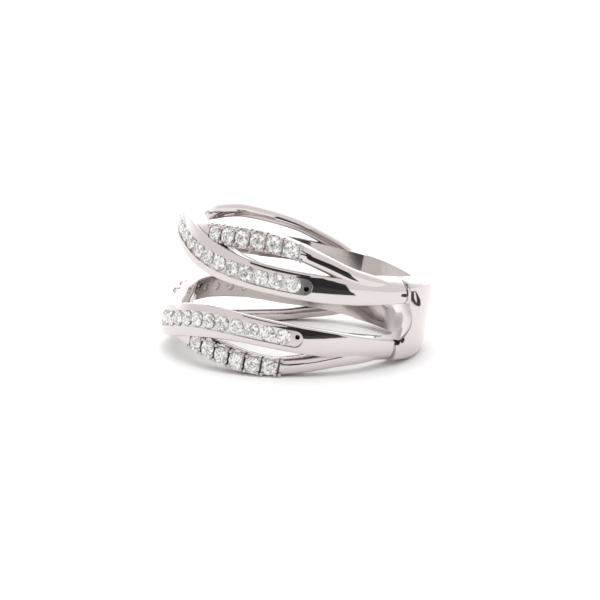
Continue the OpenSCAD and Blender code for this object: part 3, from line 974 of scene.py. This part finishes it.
# the white tent: how far round to the back it starts and stops to brighten, as the Y of the way there,
# and its brightness before and after
TENT_SPAN, TENT_FRONT, TENT_BACK = (0.3, 0.9), 1.02, 1.7

# dark cards, in metres: how far away they stand, the height on the ring that they are seen from, and the
# height of their foot; FOOT_RISE is how many degrees up that foot is seen
CARD_AWAY, EYE, CARD_FOOT, CARD_COLUMNS = 0.1, 0.005, 0.0004, 12
FOOT_RISE = math.degrees(math.atan2(CARD_FOOT - EYE, CARD_AWAY))


def floor():
    """The white floor that the ring lies on."""
    shape = bmesh.new()
    bmesh.ops.create_grid(shape, x_segments=1, y_segments=1, size=3)
    plane = solid("floor", shape)
    material, tree = finish_tree("pale_floor")
    surface = tree.node("ShaderNodeBsdfPrincipled", None, {
        "Base Color": (0.95, 0.945, 0.945, 1), "Roughness": 0.6, "Specular IOR Level": 0.3})
    tree.node("ShaderNodeOutputMaterial", None, {"Surface": surface["BSDF"]})
    dress(plane, material)


def hide_card(card):
    """Makes a card black and leaves it to be seen in the metal alone."""
    material, tree = finish_tree(card.name)
    surface = tree.node("ShaderNodeBsdfPrincipled", None, {
        "Base Color": (0.012, 0.012, 0.013, 1), "Roughness": 0.8})
    tree.node("ShaderNodeOutputMaterial", None, {"Surface": surface["BSDF"]})
    dress(card, material)
    card.visible_camera = card.visible_diffuse = card.visible_shadow = card.visible_transmission = False


def dark_card(name, span, low, high):
    """Black card beside the set, which the polished metal mirrors.

    Span gives the ways to its two sides as seen from the ring, low and high how far up its lower and
    upper edge stand there, all in degrees. The part that would be below the floor lies flat on it."""
    shape = bmesh.new()

    def edge(way, rise):
        up = math.tan(math.radians(rise))
        far = CARD_AWAY if up * CARD_AWAY > CARD_FOOT - EYE else (CARD_FOOT - EYE) / up
        return shape.verts.new((far * math.sin(way), -far * math.cos(way), max(EYE + up * far, CARD_FOOT)))

    columns = []
    for i in range(CARD_COLUMNS + 1):
        t = i / CARD_COLUMNS
        way = math.radians(span[0] * (1 - t) + span[1] * t)
        rises = [low[0] * (1 - t) + low[1] * t, high[0] * (1 - t) + high[1] * t]
        if rises[0] < 0 < rises[1]:
            rises.insert(1, FOOT_RISE)
        columns.append([edge(way, rise) for rise in rises])
    for a, b in zip(columns, columns[1:]):
        for k in range(len(a) - 1):
            shape.faces.new((a[k], b[k], b[k + 1], a[k + 1]))
    hide_card(solid(name, shape))


def dark_loop(name, outer, inner):
    """Black loop flat on the floor beside the bridge, for the bridge's corner to mirror.

    Each edge runs through corners in millimetres, given as x, y and the reach of their rounding."""
    shape = bmesh.new()
    outside, inside = ([shape.verts.new((p.x * MM, p.y * MM, CARD_FOOT)) for p in rounded(corners)]
                       for corners in (outer, inner))
    for i in range(len(outside)):
        k = (i + 1) % len(outside)
        shape.faces.new((inside[i], outside[i], outside[k], inside[k]))
    hide_card(solid(name, shape))


def overhead():
    """Broad soft light above the ring, which the polished metal doesn't mirror."""
    data = bpy.data.lights.new("overhead", "AREA")
    data.shape, data.size = "DISK", OVERHEAD_WIDTH
    data.energy = OVERHEAD_WATTS
    lamp = bpy.data.objects.new("overhead", data)
    lamp.location = (0, 0, OVERHEAD_HEIGHT)
    lamp.visible_glossy = False
    bpy.context.collection.objects.link(lamp)


def studio_light():
    """A white tent, brighter behind the ring than in front."""
    world = bpy.data.worlds.new("studio")
    bpy.context.scene.world = world
    world.use_nodes = True
    world.node_tree.nodes.clear()
    tree = Tree(world.node_tree)
    way = tree.node("ShaderNodeSeparateXYZ", None, {"Vector": tree.node("ShaderNodeTexCoord")["Generated"]})
    behind = tree.node("ShaderNodeMapRange", {"interpolation_type": "SMOOTHSTEP"}, {
        "Value": way["Y"], "From Min": TENT_SPAN[0], "From Max": TENT_SPAN[1],
        "To Min": TENT_FRONT, "To Max": TENT_BACK})
    glow = tree.node("ShaderNodeBackground", None,
                     {"Color": (1, 0.995, 0.995, 1), "Strength": behind["Result"]})
    tree.node("ShaderNodeOutputWorld", None, {"Surface": glow["Background"]})
    bpy.context.scene.view_settings.view_transform = "Standard"
    dark_card("rim_card", (-50, 2), (15, 8), (32, 14))
    dark_card("leaf_card", (-10, 37), (-8, -8), (9, 9))
    dark_card("low_card", (-76, -10), (0.8, 1.5), (5, 7))
    dark_loop("loop_card", [(42.5, 2.3, 0.8), (42.5, -6.75, 0.8), (23.5, -7.4, 2.5), (18.6, 1.7, 2)],
              [(38, -0.3, 2), (37, -1.7, 2), (23.6, -3.5, 1), (20.6, -0.4, 1)])


camera()
floor()
studio_light()
overhead()
build()
